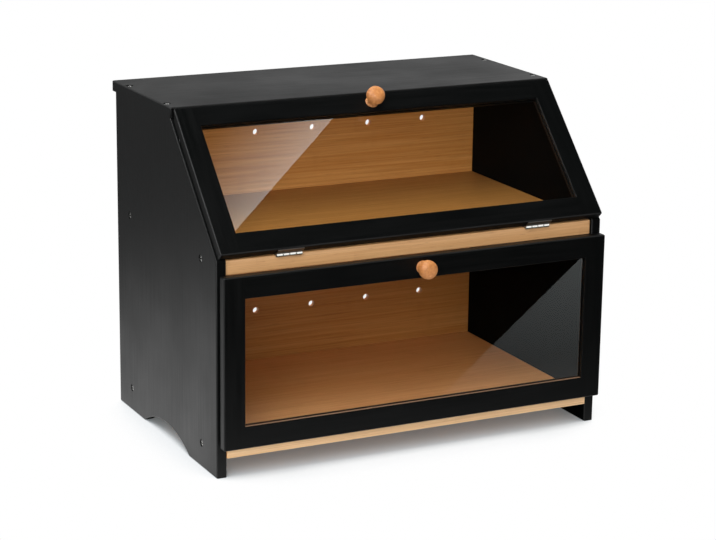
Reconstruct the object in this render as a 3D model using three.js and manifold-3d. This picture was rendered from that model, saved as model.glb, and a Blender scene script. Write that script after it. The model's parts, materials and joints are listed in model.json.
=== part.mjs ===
import * as THREE from 'three';
import { mergeVertices } from 'three/addons/utils/BufferGeometryUtils.js';
import Module from 'manifold-3d';

// Bread bin with two tiers. Millimetres, X to the right, Y to the back, Z up.
// Case: two side panels, top, back, bottom board and shelf
const caseWidth = 400;
const panelThickness = 10;
const sideDepth = 248;
const slopeStartHeight = 203;
const slopeRise = 110;
const slopeAngle = THREE.MathUtils.degToRad(46);
const archSpan = 115;
const archRise = 15;
const topBackOverhang = 9;
const topFrontOverhang = 1;
const boardBottomHeight = 18;
const boardProud = 0.8;
const backPanelThickness = 5;
const backPanelInset = 7;
const backGrooveDepth = 3;
const backGrooveGap = 0.15;
const railDepth = 12;
const shelfRailFront = 2.8;
const shelfRailHeight = 14;
const topRailSetback = 15.8;
const topRailHeight = 15;

// Air holes in the back panel
const ventDiameter = 6.5;
const ventPitchShare = 0.1645;
const ventsPerRow = 5;
const ventRowShift = 5;
const lowerVentShare = 0.315;
const upperVentShare = 0.555;

// Doors: four members around a clear pane
const doorInset = 2;
const doorThickness = 9;
const frameWidth = 21;
const paneThickness = 2;
const paneGrooveDepth = 5;
const paneGap = 0.2;
const tenonGap = 0.1;
const upperDoorGap = 0.8;
const upperDoorTopReach = 4.4;
const lowerDoorBottomRise = 1;
const lowerDoorTopDrop = 12;

// Knobs
const knobHeight = 18;
const knobCapRadius = 9;
const knobNeckRadius = 4.9;
const knobBaseRadius = 6.2;
const knobNeckHeight = 6.5;
const knobTenonRadius = 2.5;
const knobTenonLength = 5.5;
const capInnerRadius = 7.2;
const capLip = 0.8;
const capEdgeHeight = 4.6;
const capShoulder = 16.2;
const capCrownRadius = 5;
const capCrown = 17.5;
const knobCurveSteps = 4;

// Butt hinges
const hingeLength = 26;
const hingeInset = 69;
const knuckleRadius = 2.2;
const knuckleGap = 0.2;
const knucklesPerHinge = 4;
const pinRadius = 1;
const pinGap = 0.08;
const pinEndReach = 0.3;
const leafThickness = 1;
const leafReach = 9;
const leafScrewReach = 5.7;
const leafScrewSpread = 15;
const barrelClearance = 0.2;
const barrelNotchGap = 0.4;

// Magnets and strike discs
const sideMagnetRadius = 2.5;
const sideMagnetDepth = 6;
const sideMagnetProud = 0.7;
const sideMagnetSetback = 24.9;
const magnetHoleGap = 0.05;
const strikeThickness = 1;
const sideStrikeRadius = 3;
const lowerStrikeRadius = 6;
const strikeGap = 0.1;
const catchInset = 98;
const catchWidth = 36;
const catchHeight = 8;
const catchFrontReach = 4;
const catchMagnetRadius = 3;
const catchMagnetLength = 9;
const catchScrewSpread = 26;

// Screws
const woodScrew = { headRadius: 3.5, headHeight: 2.4, shankRadius: 1.8, length: 28, sink: 1.2, cross: 2.2 };
const leafScrew = { headRadius: 1.9, headHeight: 0.9, shankRadius: 1, length: 7.5, sink: 0, cross: 0 };
const leafScrewProud = 0.2;
const catchScrew = { headRadius: 2.6, headHeight: 1.4, shankRadius: 1.3, length: 16, sink: 0, cross: 0 };
const screwGap = 0.05;
const crossWidth = 0.9;
const crossDepth = 1.3;
const sideScrewFrontSetback = 36;
const sideScrewBackSetback = 34;
const topScrewFrontSetback = 19.8;
const topScrewBackSetback = 25;

// One overrun for every cut
const cutOverrun = 1;
const roundSegments = 16;
const archSegments = 18;

// Values that follow from the sizes above
const halfWidth = caseWidth / 2;
const innerHalf = halfWidth - panelThickness;
const panelMiddle = halfWidth - panelThickness / 2;
const sideHeight = slopeStartHeight + slopeRise;
const caseHeight = sideHeight + panelThickness;
const boardTop = boardBottomHeight + panelThickness;
const shelfTop = slopeStartHeight;
const shelfBottom = shelfTop - panelThickness;
const slopeTop = slopeRise / Math.tan(slopeAngle);
const slopeLength = slopeRise / Math.sin(slopeAngle);
const topFront = slopeTop - topFrontOverhang;
const topBack = sideDepth + topBackOverhang;
const topRailFront = slopeTop + topRailSetback;
const backPanelBack = sideDepth - backPanelInset;
const backPanelFront = backPanelBack - backPanelThickness;
const ventPitch = ventPitchShare * 2 * innerHalf;
const ventHeights = [boardTop + lowerVentShare * (shelfBottom - boardTop), shelfTop + upperVentShare * slopeRise];
const sideMagnetAlong = slopeLength - sideMagnetSetback;
const sideScrewPlaces = [sideScrewFrontSetback, sideDepth - sideScrewBackSetback];
const topScrewPlaces = [slopeTop + topScrewFrontSetback, sideDepth - topScrewBackSetback];
const doorHalf = halfWidth - doorInset;
const windowHalf = doorHalf - frameWidth;
const hingeCentre = doorHalf - hingeInset;
const catchCentre = doorHalf - catchInset;
const grooveWidth = paneThickness + 2 * paneGap;
const barrelStandOff = knuckleRadius + barrelClearance;
const upperAxis = { y: shelfRailFront - barrelStandOff, z: shelfTop + leafThickness / 2 };
const axisRise = upperAxis.z - slopeStartHeight;
const axisOut = axisRise * Math.cos(slopeAngle) - upperAxis.y * Math.sin(slopeAngle);
const axisAlong = upperAxis.y * Math.cos(slopeAngle) + axisRise * Math.sin(slopeAngle);
const boardFront = -boardProud;
const lowerAxis = { y: boardFront - barrelStandOff, z: boardTop + leafThickness / 2 };
const upperDoorTop = slopeLength + upperDoorTopReach;
const lowerDoorHeight = shelfTop - lowerDoorTopDrop - lowerDoorBottomRise - lowerAxis.z;

const wasm = await Module();
wasm.setup();

// Paints, woods and metals
function material(color, roughness, metalness) {
  return new THREE.MeshStandardMaterial({ color, roughness, metalness });
}
const blackWood = material(0x1d1e20, 0.5, 0);
const bamboo = material(0xc99a66, 0.55, 0);
const acrylic = material(0xe8eef0, 0.08, 0);
acrylic.transparent = true;
acrylic.opacity = 0.3;
const nickel = material(0xc4c4c2, 0.25, 1);
const steel = material(0x8d8f92, 0.35, 1);
const magnetSteel = material(0x9fa1a3, 0.3, 1);
const darkPlastic = material(0x2b2c2d, 0.55, 0);

function node(name, geometry, slot) {
  const mesh = new THREE.Mesh(geometry, slot);
  mesh.name = name;
  return mesh;
}

function shapeFrom(points) {
  return new THREE.Shape(points.map(([a, b]) => new THREE.Vector2(a, b)));
}

function extruded(shape, length, segments = roundSegments) {
  return new THREE.ExtrudeGeometry(shape, { depth: length, bevelEnabled: false, curveSegments: segments });
}

// Section drawn in Y and Z, swept along X from the given start
function alongX(shape, start, length, segments) {
  const turn = new THREE.Matrix4().makeBasis(
    new THREE.Vector3(0, 1, 0), new THREE.Vector3(0, 0, 1), new THREE.Vector3(1, 0, 0));
  return extruded(shape, length, segments).applyMatrix4(turn).translate(start, 0, 0);
}

// Box given by its low and high corners
function block(low, high) {
  const size = high.map((value, axis) => value - low[axis]);
  const centre = high.map((value, axis) => (value + low[axis]) / 2);
  return new THREE.BoxGeometry(...size).translate(...centre);
}

function rod(radius, length, segments = roundSegments) {
  return new THREE.CylinderGeometry(radius, radius, length, segments);
}

function solid(geometry) {
  const bare = geometry.clone();
  bare.deleteAttribute('normal');
  bare.deleteAttribute('uv');
  const merged = mergeVertices(bare);
  return new wasm.Manifold(new wasm.Mesh({
    numProp: 3,
    vertProperties: Float32Array.from(merged.attributes.position.array),
    triVerts: Uint32Array.from(merged.index.array),
  }));
}

function surface(body) {
  const mesh = body.getMesh();
  const geometry = new THREE.BufferGeometry();
  geometry.setAttribute('position', new THREE.BufferAttribute(Float32Array.from(mesh.vertProperties), 3));
  geometry.setIndex(new THREE.BufferAttribute(Uint32Array.from(mesh.triVerts), 1));
  const faceted = geometry.toNonIndexed();
  faceted.computeVertexNormals();
  return faceted;
}

function cut(geometry, cutters) {
  return surface(cutters.reduce((body, cutter) => body.subtract(solid(cutter)), solid(geometry)));
}

function joined(geometries) {
  return surface(geometries.map(solid).reduce((body, next) => body.add(next)));
}

// Screw standing on its tip, the top of its head at the origin
function screwProfile(size, grow, rise) {
  const neck = -size.headHeight;
  return [
    [0, -size.length - grow],
    [size.shankRadius + grow, -size.length - grow],
    [size.shankRadius + grow, neck],
    [size.headRadius + grow, grow],
    [size.headRadius + grow, rise],
    [0, rise],
  ].map(([radius, height]) => new THREE.Vector2(radius, height));
}

function screwSolid(size) {
  const profile = screwProfile(size, 0, 0).filter((point, index) => index !== 4);
  const body = new THREE.LatheGeometry(profile, roundSegments);
  if (!size.cross) return surface(solid(body));
  const slots = [0, Math.PI / 2].map((angle) =>
    new THREE.BoxGeometry(2 * size.cross, 2 * crossDepth, crossWidth).rotateY(angle));
  return cut(body, slots);
}

function screwHole(size) {
  return new THREE.LatheGeometry(screwProfile(size, screwGap, size.sink + cutOverrun), roundSegments);
}

// Turns a piece that stands on +Y so that +Y points along the given direction, then moves it
function aimed(geometry, direction, place) {
  const turn = new THREE.Quaternion().setFromUnitVectors(
    new THREE.Vector3(0, 1, 0), new THREE.Vector3(...direction).normalize());
  return geometry.applyQuaternion(turn).translate(...place);
}

// Screw sites of the case, each with its outward direction and the top of its head
function sideScrewSites(side) {
  const heights = [boardBottomHeight + panelThickness / 2, shelfBottom + panelThickness / 2];
  return heights.flatMap((height) => sideScrewPlaces.map((setback) => ({
    direction: [side, 0, 0],
    place: [side * (halfWidth - woodScrew.sink), setback, height],
  })));
}

function screwNames(prefix) {
  return ['board_front', 'board_back', 'shelf_front', 'shelf_back'].map((site) => `${prefix}_${site}`);
}
const topScrewNames = ['left_front', 'left_back', 'right_front', 'right_back'].map((site) => `top_screw_${site}`);

function topScrewSites() {
  return [-1, 1].flatMap((side) => topScrewPlaces.map((setback) => ({
    direction: [0, 0, 1],
    place: [side * panelMiddle, setback, caseHeight - woodScrew.sink],
  })));
}

function holesAt(size, sites) {
  return sites.map((site) => aimed(screwHole(size), site.direction, site.place));
}

function screwNodes(names, size, sites, slot) {
  return sites.map((site, index) => node(names[index], aimed(screwSolid(size), site.direction, site.place), slot));
}

// Direction out of the sloping edge, and a point on it
const slopeOut = [0, -Math.sin(slopeAngle), Math.cos(slopeAngle)];
function slopePoint(along, out) {
  return {
    y: along * Math.cos(slopeAngle) - out * Math.sin(slopeAngle),
    z: slopeStartHeight + along * Math.sin(slopeAngle) + out * Math.cos(slopeAngle),
  };
}

function sideMagnet(side, radius, proud) {
  const middle = slopePoint(sideMagnetAlong, (proud - sideMagnetDepth) / 2);
  return aimed(rod(radius, sideMagnetDepth + proud), slopeOut, [side * panelMiddle, middle.y, middle.z]);
}

// Side panel with a sloping front above the shelf and an arch between two feet
function sidePanel(side) {
  const radius = (archSpan * archSpan / 4 + archRise * archRise) / (2 * archRise);
  const middle = sideDepth / 2;
  const sweep = Math.asin(archSpan / 2 / radius);
  const outline = new THREE.Shape();
  outline.moveTo(0, 0);
  outline.lineTo(middle - archSpan / 2, 0);
  outline.absarc(middle, archRise - radius, radius, Math.PI / 2 + sweep, Math.PI / 2 - sweep, true);
  outline.lineTo(sideDepth, 0);
  outline.lineTo(sideDepth, sideHeight);
  outline.lineTo(slopeTop, sideHeight);
  outline.lineTo(0, slopeStartHeight);
  const start = side < 0 ? -halfWidth : innerHalf;
  const panel = alongX(outline, start, panelThickness, archSegments);
  const grooveEnds = [side * (innerHalf - cutOverrun), side * (innerHalf + backGrooveDepth + backGrooveGap)];
  const groove = block(
    [Math.min(...grooveEnds), backPanelFront - backGrooveGap, boardTop],
    [Math.max(...grooveEnds), backPanelBack + backGrooveGap, sideHeight + cutOverrun]);
  const topSites = topScrewSites().filter((site) => Math.sign(site.place[0]) === side);
  return cut(panel, [
    groove,
    ...holesAt(woodScrew, sideScrewSites(side)),
    ...holesAt(woodScrew, topSites),
    sideMagnet(side, sideMagnetRadius + magnetHoleGap, cutOverrun),
  ]);
}

function topPanel() {
  const panel = block([-halfWidth, topFront, sideHeight], [halfWidth, topBack, caseHeight]);
  return cut(panel, holesAt(woodScrew, topScrewSites()));
}

function backPanel() {
  const half = innerHalf + backGrooveDepth;
  const outline = shapeFrom([[-half, boardTop], [half, boardTop], [half, sideHeight], [-half, sideHeight]]);
  for (const height of ventHeights) {
    for (let index = 0; index < ventsPerRow; index += 1) {
      const across = ventRowShift + (index - (ventsPerRow - 1) / 2) * ventPitch;
      const hole = new THREE.Path();
      hole.absarc(across, height, ventDiameter / 2, 0, 2 * Math.PI, true);
      outline.holes.push(hole);
    }
  }
  return extruded(outline, backPanelThickness, roundSegments / 2)
    .rotateX(Math.PI / 2).translate(0, backPanelBack, 0);
}

function boardBetweenSides(front, back, bottom, top) {
  return block([-innerHalf, front, bottom], [innerHalf, back, top]);
}

function bottomBoard() {
  const board = boardBetweenSides(boardFront, sideDepth, boardBottomHeight, boardTop);
  const sites = [-1, 1].flatMap((side) => sideScrewSites(side));
  return cut(board, [...holesAt(woodScrew, sites), ...holesAt(leafScrew, fixedLeafSites(lowerAxis))]);
}

function middleShelf() {
  const front = shelfRailFront + railDepth;
  const shelf = boardBetweenSides(front, backPanelFront, shelfBottom, shelfTop);
  return cut(shelf, holesAt(woodScrew, [-1, 1].flatMap((side) => sideScrewSites(side))));
}

function shelfFrontRail() {
  const rail = boardBetweenSides(
    shelfRailFront, shelfRailFront + railDepth, shelfTop - shelfRailHeight, shelfTop);
  return cut(rail, [...holesAt(leafScrew, fixedLeafSites(upperAxis)), ...holesAt(catchScrew, catchScrewSites())]);
}

function topFrontRail() {
  return boardBetweenSides(topRailFront, topRailFront + railDepth, sideHeight - topRailHeight, sideHeight);
}

// Two screws in a leaf that lies back from a hinge axis
function leafScrewOffsets() {
  return [-1, 1].map((hand) => hand * leafScrewSpread / 2);
}

function fixedLeafSites(axis) {
  return [-1, 1].flatMap((side) => leafScrewOffsets().map((offset) => ({
    direction: [0, 0, 1],
    place: [side * hingeCentre + offset, axis.y + leafScrewReach, axis.z + leafThickness / 2],
  })));
}

// Hinge leaf around the X axis, its plate reaching along +Y, with every second knuckle
function hingeLeaf(firstKnuckle) {
  const step = hingeLength / knucklesPerHinge;
  const ring = new THREE.Shape();
  ring.absarc(0, 0, knuckleRadius, 0, 2 * Math.PI, false);
  const bore = new THREE.Path();
  bore.absarc(0, 0, pinRadius + pinGap, 0, 2 * Math.PI, true);
  ring.holes.push(bore);
  const plateStart = knuckleRadius + barrelClearance;
  const tabStart = (knuckleRadius + pinRadius + pinGap) / 2;
  const half = leafThickness / 2;
  const pieces = [block([-hingeLength / 2, plateStart, -half], [hingeLength / 2, leafReach, half])];
  for (let index = firstKnuckle; index < knucklesPerHinge; index += 2) {
    const start = index * step - hingeLength / 2 + knuckleGap / 2;
    const length = step - knuckleGap;
    pieces.push(alongX(ring, start, length, roundSegments / 2));
    pieces.push(block([start, tabStart, -half], [start + length, plateStart + knuckleGap, half]));
  }
  return joined(pieces);
}

// Leaf with the two screws that hold it, their heads a little proud on the given side
function leafWithScrews(firstKnuckle, headSide) {
  const rise = headSide * (leafThickness / 2 + leafScrewProud);
  const screws = leafScrewOffsets().map((offset) =>
    aimed(screwSolid(leafScrew), [0, 0, headSide], [offset, leafScrewReach, rise]));
  return joined([hingeLeaf(firstKnuckle), ...screws]);
}

function hingePin() {
  return rod(pinRadius, hingeLength + 2 * pinEndReach).rotateZ(Math.PI / 2);
}

// Fixed half of a hinge: the leaf on the board and the pin
function fixedHinge(prefix, axis, side) {
  const hand = side < 0 ? 'left' : 'right';
  const group = new THREE.Group();
  group.position.set(side * hingeCentre, axis.y, axis.z);
  group.add(node(`${prefix}_hinge_fixed_leaf_${hand}`, leafWithScrews(1, 1), nickel));
  group.add(node(`${prefix}_hinge_pin_${hand}`, hingePin(), steel));
  return group;
}

// Moving half: the same leaf turned onto the door
function movingHinge(prefix, side, turn, headSide) {
  const hand = side < 0 ? 'left' : 'right';
  const group = new THREE.Group();
  group.position.set(side * hingeCentre, 0, 0);
  group.rotation.x = turn;
  group.add(node(`${prefix}_hinge_door_leaf_${hand}`, leafWithScrews(0, headSide), nickel));
  return group;
}

// Door member section with the pane groove open towards +b, thickness along a
function grooveSection(width) {
  const back = 0;
  const grooveLow = (doorThickness - grooveWidth) / 2;
  const grooveHigh = grooveLow + grooveWidth;
  return [
    [back, 0], [doorThickness, 0], [doorThickness, width], [grooveHigh, width],
    [grooveHigh, width - paneGrooveDepth], [grooveLow, width - paneGrooveDepth], [grooveLow, width], [back, width],
  ];
}

// Stile of a door, the groove towards the middle; the door's back lies at y = -back
function stile(side, back, bottom, height) {
  const points = grooveSection(frameWidth).map(([depth, across]) =>
    [side * (doorHalf - across), -back - depth]);
  const section = shapeFrom(points);
  return extruded(section, height).translate(0, 0, bottom);
}

// Rail of a door with a stub tenon at each end in the stiles' grooves
function railPieces(up, back, edge) {
  const points = grooveSection(frameWidth).map(([depth, across]) => [-back - depth, edge + up * across]);
  const bar = alongX(shapeFrom(points), -windowHalf, 2 * windowHalf);
  const tenonHalf = (grooveWidth - 2 * tenonGap) / 2;
  const middle = -back - doorThickness / 2;
  const ends = [edge, edge + up * (frameWidth - paneGrooveDepth)].sort((a, b) => a - b);
  const reach = windowHalf + paneGrooveDepth - tenonGap;
  const tenon = block([-reach, middle - tenonHalf, ends[0]], [reach, middle + tenonHalf, ends[1]]);
  return [bar, tenon];
}

function pane(back, bottom, height) {
  const middle = -back - doorThickness / 2;
  const half = windowHalf + paneGrooveDepth - paneGap;
  const low = bottom + frameWidth - paneGrooveDepth + paneGap;
  const high = bottom + height - frameWidth + paneGrooveDepth - paneGap;
  return block([-half, middle - paneThickness / 2, low], [half, middle + paneThickness / 2, high]);
}

// Mushroom knob standing on +Y, its tenon below
function knob() {
  const capStart = knobNeckHeight;
  const outline = new THREE.Path();
  outline.moveTo(0, -knobTenonLength);
  outline.lineTo(knobTenonRadius, -knobTenonLength);
  outline.lineTo(knobTenonRadius, 0);
  outline.lineTo(knobBaseRadius, 0);
  outline.quadraticCurveTo(knobNeckRadius, capStart / 4, knobNeckRadius, capStart / 2);
  outline.quadraticCurveTo(knobNeckRadius, capStart, capInnerRadius, capStart + capLip);
  outline.quadraticCurveTo(knobCapRadius, capStart + capLip, knobCapRadius, capStart + capEdgeHeight);
  outline.quadraticCurveTo(knobCapRadius, capShoulder, capCrownRadius, capCrown);
  outline.quadraticCurveTo(capCrownRadius / 2, knobHeight, 0, knobHeight);
  return new THREE.LatheGeometry(outline.getPoints(knobCurveSteps), 2 * roundSegments);
}

function knobHole() {
  return rod(knobTenonRadius + tenonGap, knobTenonLength + tenonGap + cutOverrun)
    .translate(0, (cutOverrun - knobTenonLength - tenonGap) / 2, 0);
}

// Wedge that trims a leaning door's top end to a plumb face
function topBevel(back, top) {
  const run = Math.cos(slopeAngle) * cutOverrun;
  const drop = Math.sin(slopeAngle) * cutOverrun;
  const front = -back - doorThickness;
  const low = top - doorThickness * Math.tan(slopeAngle);
  const wedge = shapeFrom([
    [front - run, top + drop], [-back + run, low - drop],
    [-back + run, top + drop + cutOverrun], [front - run, top + drop + cutOverrun],
  ]);
  return alongX(wedge, -doorHalf - cutOverrun, 2 * (doorHalf + cutOverrun));
}

// Door members, pane, knob and door halves of the hinges, around the hinge axis
function door(prefix, { back, bottom, height, leafTurn, leafHead, strikes, leaning }) {
  const group = new THREE.Group();
  const top = bottom + height;
  const knobRise = top - frameWidth / 2;
  const bevel = leaning ? [topBevel(back, top)] : [];
  const outward = [0, -1, 0];
  const knobBase = [0, -back - doorThickness, knobRise];
  const notches = [-1, 1].map((side) =>
    rod(knuckleRadius + barrelNotchGap, hingeLength + 2 * barrelNotchGap)
      .rotateZ(Math.PI / 2).translate(side * hingeCentre, 0, 0));
  const leafHoles = [-1, 1].flatMap((side) => leafScrewOffsets().map((offset) =>
    aimed(screwHole(leafScrew), [0, 0, leafHead], [offset, leafScrewReach, leafHead * leafThickness / 2])
      .rotateX(leafTurn).translate(side * hingeCentre, 0, 0)));
  const strikeHole = ({ across, rise, radius }) =>
    rod(radius + magnetHoleGap, strikeThickness + magnetHoleGap + cutOverrun)
      .translate(across, -back + (cutOverrun - strikeThickness - magnetHoleGap) / 2, rise);
  const strikeHoles = (test) => strikes.filter(test).map(strikeHole);

  group.add(node(`${prefix}_door_stile_left`,
    cut(stile(-1, back, bottom, height), [...bevel, ...strikeHoles(({ across }) => across < -windowHalf)]),
    blackWood));
  group.add(node(`${prefix}_door_stile_right`,
    cut(stile(1, back, bottom, height), [...bevel, ...strikeHoles(({ across }) => across > windowHalf)]),
    blackWood));
  const topRail = joined(railPieces(-1, back, top));
  const topCuts = [...bevel, aimed(knobHole(), outward, knobBase),
    ...strikeHoles(({ across }) => Math.abs(across) < windowHalf)];
  group.add(node(`${prefix}_door_top_rail`, cut(topRail, topCuts), blackWood));
  group.add(node(`${prefix}_door_bottom_rail`,
    cut(joined(railPieces(1, back, bottom)), [...notches, ...leafHoles]), blackWood));
  group.add(node(`${prefix}_door_pane`, pane(back, bottom, height), acrylic));
  group.add(node(`${prefix}_door_knob`, aimed(knob(), outward, knobBase), bamboo));
  strikes.forEach(({ across, rise, radius, name }) => {
    const disc = rod(radius, strikeThickness).translate(across, -back - strikeThickness / 2, rise);
    group.add(node(`${prefix}_door_strike${name}`, disc, magnetSteel));
  });
  group.add(movingHinge(prefix, -1, leafTurn, leafHead));
  group.add(movingHinge(prefix, 1, leafTurn, leafHead));
  return group;
}

// Upper door leans back on the sloping edges
function upperDoor() {
  const rise = sideMagnetAlong - axisAlong;
  const group = door('upper', {
    back: upperDoorGap - axisOut,
    bottom: leafThickness / 2,
    height: upperDoorTop - axisAlong - leafThickness / 2,
    leafTurn: Math.PI,
    leafHead: 1,
    leaning: true,
    strikes: [-1, 1].map((side) => ({
      across: side * panelMiddle, rise, radius: sideStrikeRadius, name: side < 0 ? '_left' : '_right',
    })),
  });
  group.position.set(0, upperAxis.y, upperAxis.z);
  group.rotation.x = slopeAngle - Math.PI / 2;
  return group;
}

// Lower door stands upright in front of the bottom board
const lowerDoorBack = leafThickness / 2;
function lowerDoor() {
  const group = door('lower', {
    back: lowerDoorBack,
    bottom: lowerDoorBottomRise,
    height: lowerDoorHeight,
    leafTurn: Math.PI / 2,
    leafHead: -1,
    leaning: false,
    strikes: [{ across: catchCentre, rise: catchMiddle - lowerAxis.z, radius: lowerStrikeRadius, name: '' }],
  });
  group.position.set(0, lowerAxis.y, lowerAxis.z);
  return group;
}

// Magnet catch under the shelf rail for the lower door
const catchTop = shelfTop - shelfRailHeight;
const catchMiddle = catchTop - catchHeight / 2;
function catchScrewSites() {
  return [-1, 1].map((hand) => ({
    direction: [0, 0, -1],
    place: [catchCentre + hand * catchScrewSpread / 2, shelfRailFront + railDepth / 2, catchTop - catchHeight],
  }));
}

function catchMagnet(grow) {
  const front = lowerAxis.y - lowerDoorBack + strikeGap;
  const length = catchMagnetLength + grow;
  return rod(catchMagnetRadius + grow, length).translate(catchCentre, front + length / 2, catchMiddle);
}

function catchBody() {
  const front = shelfRailFront - catchFrontReach;
  const body = block(
    [catchCentre - catchWidth / 2, front, catchTop - catchHeight],
    [catchCentre + catchWidth / 2, shelfRailFront + railDepth, catchTop]);
  return cut(body, [catchMagnet(magnetHoleGap), ...holesAt(catchScrew, catchScrewSites())]);
}

// Whole bin, moved so that the middle of its footprint is the origin
function breadBin() {
  const bin = new THREE.Group();
  bin.add(node('side_panel_left', sidePanel(-1), blackWood));
  bin.add(node('side_panel_right', sidePanel(1), blackWood));
  bin.add(node('top_panel', topPanel(), blackWood));
  bin.add(node('back_panel', backPanel(), bamboo));
  bin.add(node('bottom_board', bottomBoard(), bamboo));
  bin.add(node('middle_shelf', middleShelf(), bamboo));
  bin.add(node('shelf_front_rail', shelfFrontRail(), bamboo));
  bin.add(node('top_front_rail', topFrontRail(), bamboo));
  bin.add(...screwNodes(screwNames('side_screw_left'), woodScrew, sideScrewSites(-1), steel));
  bin.add(...screwNodes(screwNames('side_screw_right'), woodScrew, sideScrewSites(1), steel));
  bin.add(...screwNodes(topScrewNames, woodScrew, topScrewSites(), steel));
  bin.add(node('upper_magnet_left', sideMagnet(-1, sideMagnetRadius, sideMagnetProud), magnetSteel));
  bin.add(node('upper_magnet_right', sideMagnet(1, sideMagnetRadius, sideMagnetProud), magnetSteel));
  bin.add(node('lower_catch_body', catchBody(), darkPlastic));
  bin.add(node('lower_catch_magnet', catchMagnet(0), magnetSteel));
  bin.add(...screwNodes(['lower_catch_screw_left', 'lower_catch_screw_right'],
    catchScrew, catchScrewSites(), steel));
  for (const side of [-1, 1]) {
    bin.add(fixedHinge('upper', upperAxis, side));
    bin.add(fixedHinge('lower', lowerAxis, side));
  }
  bin.add(upperDoor());
  bin.add(lowerDoor());
  const front = lowerAxis.y - lowerDoorBack - doorThickness - knobHeight;
  bin.position.y = -(front + topBack) / 2;
  return bin;
}

const part = new THREE.Group();
part.name = 'bread_bin';
part.add(breadBin());
export default part;
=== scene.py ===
import json
import math

import bmesh
import bpy
from mathutils import Matrix, Vector

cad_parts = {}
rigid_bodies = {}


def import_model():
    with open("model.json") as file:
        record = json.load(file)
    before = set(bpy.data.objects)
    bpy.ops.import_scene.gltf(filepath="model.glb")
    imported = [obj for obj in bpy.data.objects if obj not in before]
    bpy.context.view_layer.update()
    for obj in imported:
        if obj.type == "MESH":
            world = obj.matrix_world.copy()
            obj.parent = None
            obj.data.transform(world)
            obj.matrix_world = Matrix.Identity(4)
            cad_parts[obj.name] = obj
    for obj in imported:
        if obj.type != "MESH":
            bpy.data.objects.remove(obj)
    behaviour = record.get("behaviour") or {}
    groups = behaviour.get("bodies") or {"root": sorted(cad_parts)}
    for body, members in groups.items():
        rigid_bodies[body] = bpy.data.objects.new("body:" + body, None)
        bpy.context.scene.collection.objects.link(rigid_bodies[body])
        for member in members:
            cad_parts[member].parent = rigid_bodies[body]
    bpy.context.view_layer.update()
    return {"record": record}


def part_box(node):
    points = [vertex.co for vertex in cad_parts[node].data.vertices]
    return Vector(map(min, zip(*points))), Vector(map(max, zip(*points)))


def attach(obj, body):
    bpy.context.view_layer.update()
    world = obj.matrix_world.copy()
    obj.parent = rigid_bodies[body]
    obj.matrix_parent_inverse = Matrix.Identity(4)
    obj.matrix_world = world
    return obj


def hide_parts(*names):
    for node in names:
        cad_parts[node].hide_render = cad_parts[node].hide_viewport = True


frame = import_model()

# Case sizes in millimetres, as the solids have them. Depth counts from the side boards' front edges.
MM = 0.001
MIDDLE_SHIFT = -113.15
CASE_HALF = 200
BOARD_THICKNESS = 10
INNER_HALF = CASE_HALF - BOARD_THICKNESS
SIDE_DEPTH = 248
SIDE_HEIGHT = 313
SLOPE_START = 203
SLOPE_ANGLE = math.radians(46)
SLOPE_RISE = SIDE_HEIGHT - SLOPE_START
SLOPE_TOP = SLOPE_RISE / math.tan(SLOPE_ANGLE)
SLOPE_LENGTH = SLOPE_RISE / math.sin(SLOPE_ANGLE)
ARCH_SPAN = 115
ARCH_RISE = 15
ARCH_STEPS = 36
TOP_FRONT = SLOPE_TOP - 1
TOP_BACK = SIDE_DEPTH + 9
TOP_RAIL_FRONT = SLOPE_TOP + 15.8
TOP_RAIL_HEIGHT = 15
BOARD_BOTTOM = 18
BOARD_TOP = BOARD_BOTTOM + BOARD_THICKNESS
BOARD_FRONT = -0.8
SHELF_BOTTOM = SLOPE_START - BOARD_THICKNESS
RAIL_FRONT = 2.8
RAIL_DEPTH = 12
SHELF_RAIL_HEIGHT = 14
BACK_REAR = SIDE_DEPTH - 7
BACK_THICKNESS = 5
BACK_FRONT = BACK_REAR - BACK_THICKNESS
BACK_HALF = INNER_HALF + 3

# Air holes. Their pitch is a share of the inner width, and each height is a share of its compartment's.
VENT_RADIUS = 3.1
VENT_PITCH = 0.1645 * 2 * INNER_HALF
VENT_SHIFT = 5
VENT_HEIGHTS = (BOARD_TOP + 0.315 * (SHELF_BOTTOM - BOARD_TOP), SLOPE_START + 0.555 * SLOPE_RISE)

# Hinges. Each axis is a depth and a height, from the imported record.
AXES = {
    joint["name"]: (joint["pos_m"][1] / MM - MIDDLE_SHIFT, joint["pos_m"][2] / MM)
    for joint in frame["record"]["behaviour"]["joints"]
}
UPPER_AXIS = AXES["upper_door_hinge"]
LOWER_AXIS = AXES["lower_door_hinge"]
HANDS = {"left": -1, "right": 1}
HINGE_OUT = 129
HINGE_LENGTH = 26
KNUCKLES = 4
KNUCKLE_GAP = 0.2
KNUCKLE_RADIUS = 2.2
KNUCKLE_EASE = 0.4
KNUCKLE_NOTCH = 0.4
PIN_RADIUS = 1
PIN_PLAY = 0.08
PIN_EASE = 0.3
LEAF_THICKNESS = 1
LEAF_REACH = 9
LEAF_CORNER = 1.4
LEAF_EASE = 0.15
PLATE_START = KNUCKLE_RADIUS + 0.2
LEAF_SCREW_REACH = 5.7
LEAF_SCREW_SUNK = 0.15
LEAF_SCREW_SPREAD = 15

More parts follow.
